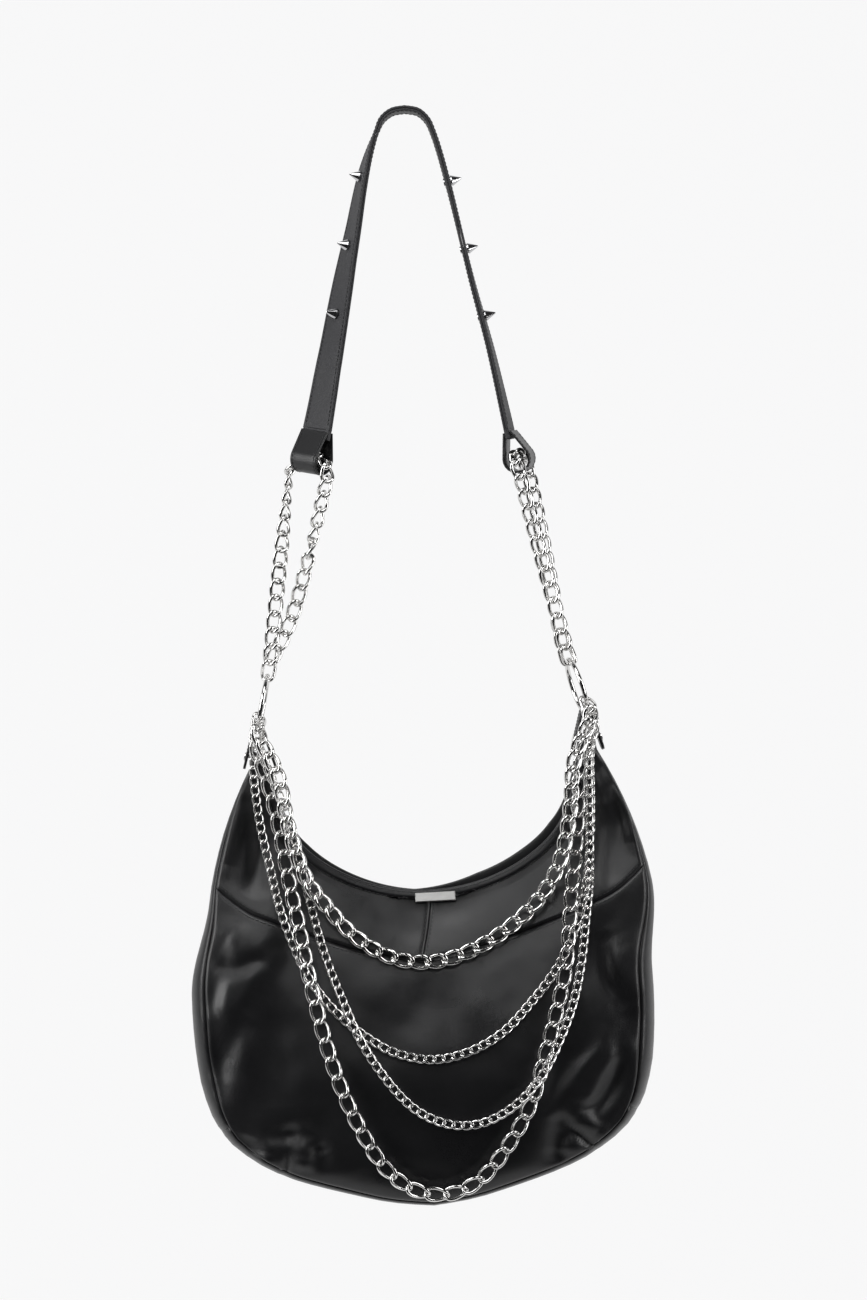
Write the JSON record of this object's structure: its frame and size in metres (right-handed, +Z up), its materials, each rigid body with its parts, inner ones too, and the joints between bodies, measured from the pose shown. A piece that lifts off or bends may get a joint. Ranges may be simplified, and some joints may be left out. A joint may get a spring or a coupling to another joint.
{
  "type": "chain shoulder bag",
  "caption": "Slouchy leather shoulder bag hung from two rings by link chains below a short strap, with chain swags draped across its front.",
  "frame": {"origin": "inner face of the strap at its top, where a shoulder or hand carries it", "axes": "X to the right of the front view along the bag's width, Y to the back through its depth, Z up"},
  "size_m": [0.3811, 0.1074, 0.8999],
  "materials": {
    "strap_leather": "worn satin",
    "smooth_leather": "smooth satin",
    "grained_leather": "soft gloss, fine grain",
    "nickel": "polished nickel",
    "cloth": "matt weave"
  },
  "bodies": {
    "strap": {"strap_outer": "strap_leather", "strap_inner": "strap_leather", "cone_studs": "nickel", "stud_screws": "nickel"},
    "chain_left": {"loop_left": "smooth_leather", "strap_chain_left": "nickel"},
    "chain_right": {"loop_right": "smooth_leather", "strap_chain_right": "nickel"},
    "bag": {"tab_left": "smooth_leather", "tab_right": "smooth_leather", "tab_rivets": "nickel", "yoke_front_left": "grained_leather", "yoke_front_right": "grained_leather", "panel_front": "grained_leather", "yoke_back_left": "grained_leather", "yoke_back_right": "grained_leather", "panel_back": "grained_leather", "gusset_left": "grained_leather", "gusset_right": "grained_leather", "base": "grained_leather", "lining": "cloth", "rim_front": "smooth_leather", "rim_back": "smooth_leather", "zip_tapes": "cloth", "zip_teeth": "nickel", "name_plate": "nickel", "plate_posts": "nickel"},
    "slider": {"zip_slider": "nickel"},
    "puller": {"zip_puller": "nickel"},
    "ring_left_body": {"ring_left": "nickel"},
    "ring_right_body": {"ring_right": "nickel"},
    "swag_fine_upper_body": {"swag_fine_upper": "nickel"},
    "swag_open_body": {"swag_open": "nickel"},
    "swag_fine_lower_body": {"swag_fine_lower": "nickel"},
    "swag_top_body": {"swag_top": "nickel"}
  },
  "joints": [
    {"name": "left_side_swing", "type": "hinge", "parent": "strap", "child": "chain_left", "pos_m": [-0.07175, 0, -0.2599], "axis": [1, 0, 0], "range_deg": [-6, 6]},
    {"name": "right_side_swing", "type": "hinge", "parent": "strap", "child": "chain_right", "pos_m": [0.08525, 0, -0.2599], "axis": [1, 0, 0], "range_deg": [-6, 6]},
    {"name": "bag_swing", "type": "hinge", "parent": "chain_left", "child": "bag", "pos_m": [0.0123, 0, -0.4777], "axis": [0.9985, 0, 0.0541], "range_deg": [-6, 12]},
    {"name": "left_ring_turn", "type": "hinge", "parent": "bag", "child": "ring_left_body", "pos_m": [-0.11651, 0, -0.48468], "axis": [0.9851, 0, -0.1719], "continuous": true},
    {"name": "right_ring_turn", "type": "hinge", "parent": "bag", "child": "ring_right_body", "pos_m": [0.14111, 0, -0.47072], "axis": [0.9386, 0.1511, 0.31], "continuous": true},
    {"name": "swag_fine_upper_swing", "type": "hinge", "parent": "bag", "child": "swag_fine_upper_body", "pos_m": [0.01422, -0.00736, -0.49635], "axis": [-0.9985, -0.0033, -0.0547], "range_deg": [0, 16]},
    {"name": "swag_open_swing", "type": "hinge", "parent": "bag", "child": "swag_open_body", "pos_m": [0.01437, -0.01092, -0.49455], "axis": [-0.9985, -0.0032, -0.0546], "range_deg": [0, 17.38]},
    {"name": "swag_fine_lower_swing", "type": "hinge", "parent": "bag", "child": "swag_fine_lower_body", "pos_m": [0.01445, -0.01459, -0.49164], "axis": [-0.9985, -0.0029, -0.0545], "range_deg": [0, 18.66]},
    {"name": "swag_top_swing", "type": "hinge", "parent": "bag", "child": "swag_top_body", "pos_m": [0.01441, -0.01771, -0.4877], "axis": [-0.9985, -0.0024, -0.0544], "range_deg": [0, 19.94]},
    {"name": "slider_travel", "type": "hinge", "parent": "bag", "child": "slider", "pos_m": [0.01281, 0, -0.48719], "axis": [0, -1, 0], "range_deg": [0, 60]},
    {"name": "puller_flip", "type": "hinge", "parent": "slider", "child": "puller", "pos_m": [-0.06899, 0, -0.61363], "axis": [0, -1, 0], "range_deg": [0, 150]}
  ],
  "couplings": [
    {"joint": "right_side_swing", "follows": "left_side_swing", "ratio": 1},
    {"joint": "swag_open_swing", "follows": "swag_fine_upper_swing", "ratio": 1.08},
    {"joint": "swag_fine_lower_swing", "follows": "swag_fine_upper_swing", "ratio": 1.16},
    {"joint": "swag_top_swing", "follows": "swag_fine_upper_swing", "ratio": 1.24}
  ]
}
